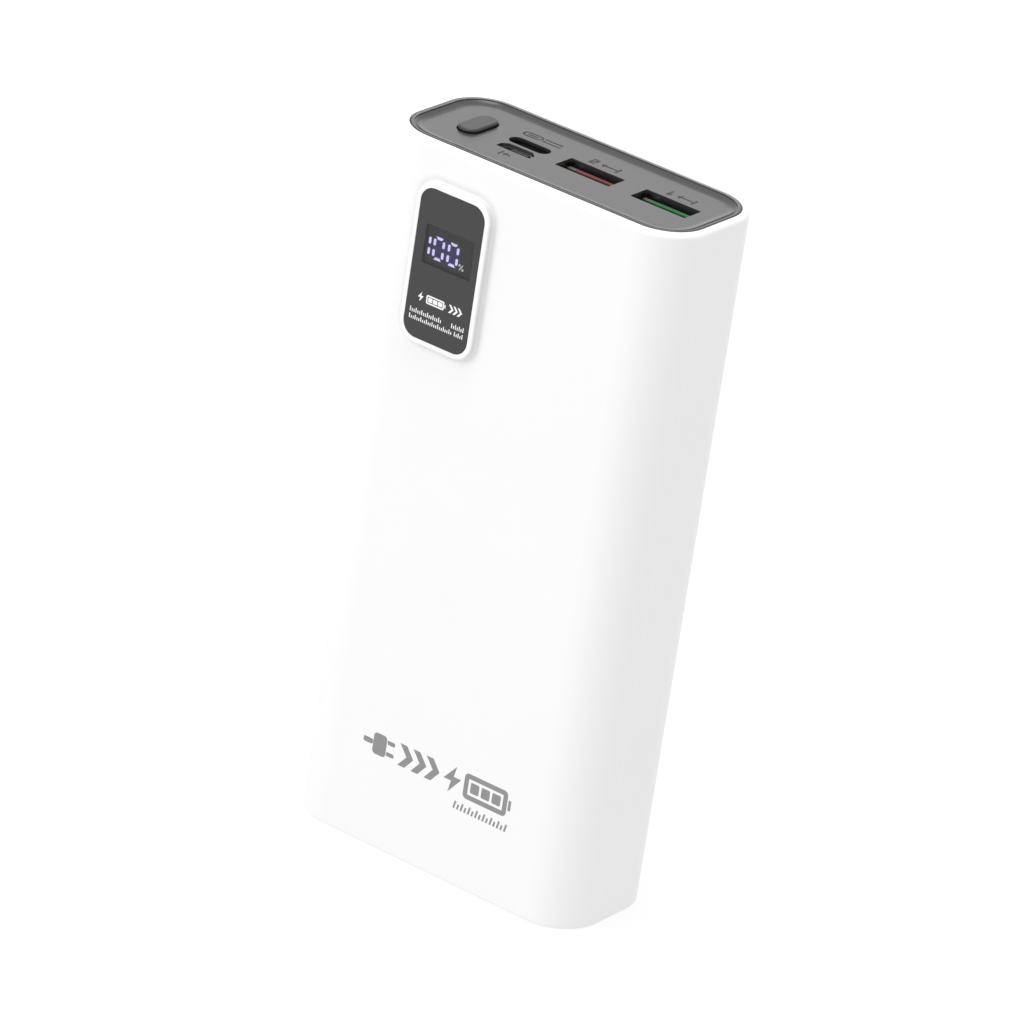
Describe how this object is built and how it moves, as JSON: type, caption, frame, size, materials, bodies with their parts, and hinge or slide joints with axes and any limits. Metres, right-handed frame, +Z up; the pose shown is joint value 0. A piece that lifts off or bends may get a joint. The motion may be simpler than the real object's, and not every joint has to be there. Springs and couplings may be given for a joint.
{
  "type": "power bank",
  "caption": "Upright pocket power bank: white sleeve with rounded sides, grey dished end panel with USB sockets and a capsule button, raised window with a charge readout.",
  "frame": {"origin": "centre of the base, on the plane the power bank stands on", "axes": "+Z up the long axis to the sockets, -Y out of the face with the display, +X to the right when that face is seen from outside"},
  "size_m": [0.071, 0.0318, 0.1482],
  "materials": {
    "shell_white": "smooth satin white",
    "panel_grey": "smooth matt mid grey",
    "button_grey": "smooth matt dark grey",
    "smoked_window": "polished smoked acrylic",
    "adhesive_black": "foam and adhesive film",
    "display_black": "matt black resin",
    "digits_lit": "lit lavender-white diffuser",
    "header_black": "moulded black resin",
    "plunger_white": "moulded off-white resin",
    "board_green": "green solder mask",
    "frame_white": "moulded off-white resin",
    "tongue_green": "moulded green resin",
    "tongue_red": "moulded red resin",
    "socket_metal": "plated steel sheet",
    "contact_gold": "plated contact",
    "coil_grey": "pressed powder core",
    "component_metal": "satin metal can",
    "screw_steel": "zinc plated",
    "cell_foil": "dull laminate foil",
    "band_amber": "amber film tape",
    "nickel": "nickel strip",
    "lead_red": "soft insulation",
    "lead_black": "soft insulation"
  },
  "bodies": {
    "bank": {"main_shell": "shell_white", "port_panel": "panel_grey", "bottom_cover": "panel_grey", "panel_clip_ring": "panel_grey", "button_guide": "panel_grey", "display_window": "smoked_window", "window_adhesive": "adhesive_black", "foam_pad_front": "adhesive_black", "foam_pad_back": "adhesive_black", "cell_tape": "adhesive_black", "display_module": "display_black", "display_segments": "digits_lit", "display_header": "header_black", "tact_switch_body": "header_black", "charge_controller": "header_black", "port_controller": "header_black", "protection_switches": "header_black", "usb_c_tongue": "header_black", "micro_usb_tongue": "header_black", "main_board": "board_green", "display_board": "board_green", "protection_board": "board_green", "inner_frame": "frame_white", "usb_a_1_tongue": "tongue_green", "usb_a_2_tongue": "tongue_red", "usb_a_1_shell": "socket_metal", "usb_a_2_shell": "socket_metal", "usb_c_shell": "socket_metal", "micro_usb_shell": "socket_metal", "usb_a_1_contacts": "contact_gold", "usb_a_2_contacts": "contact_gold", "usb_c_contacts": "contact_gold", "micro_usb_contacts": "contact_gold", "usb_a_1_side_contact": "contact_gold", "usb_a_2_side_contact": "contact_gold", "power_coil_1": "coil_grey", "power_coil_2": "coil_grey", "bulk_capacitors": "component_metal", "small_components": "component_metal", "board_screws": "screw_steel", "battery_cell_front": "cell_foil", "battery_cell_back": "cell_foil", "cell_band_lower": "band_amber", "cell_band_upper": "band_amber", "cell_tab_positive": "nickel", "cell_tab_negative": "nickel", "lead_positive": "lead_red", "lead_negative": "lead_black", "thermistor": "lead_black"},
    "power_button": {"power_button": "button_grey"},
    "switch_plunger": {"switch_plunger": "plunger_white"}
  },
  "joints": [
    {"name": "power_button_press", "type": "slide", "parent": "bank", "child": "power_button", "axis": [0, 0, -1], "range_m": [0, 0.0003], "stiffness_N_per_m": 800, "springref_m": -0.0002},
    {"name": "switch_plunger_press", "type": "slide", "parent": "bank", "child": "switch_plunger", "axis": [0, 0, -1], "range_m": [0, 0.0003]}
  ],
  "couplings": [
    {"joint": "switch_plunger_press", "follows": "power_button_press", "ratio": 1}
  ]
}
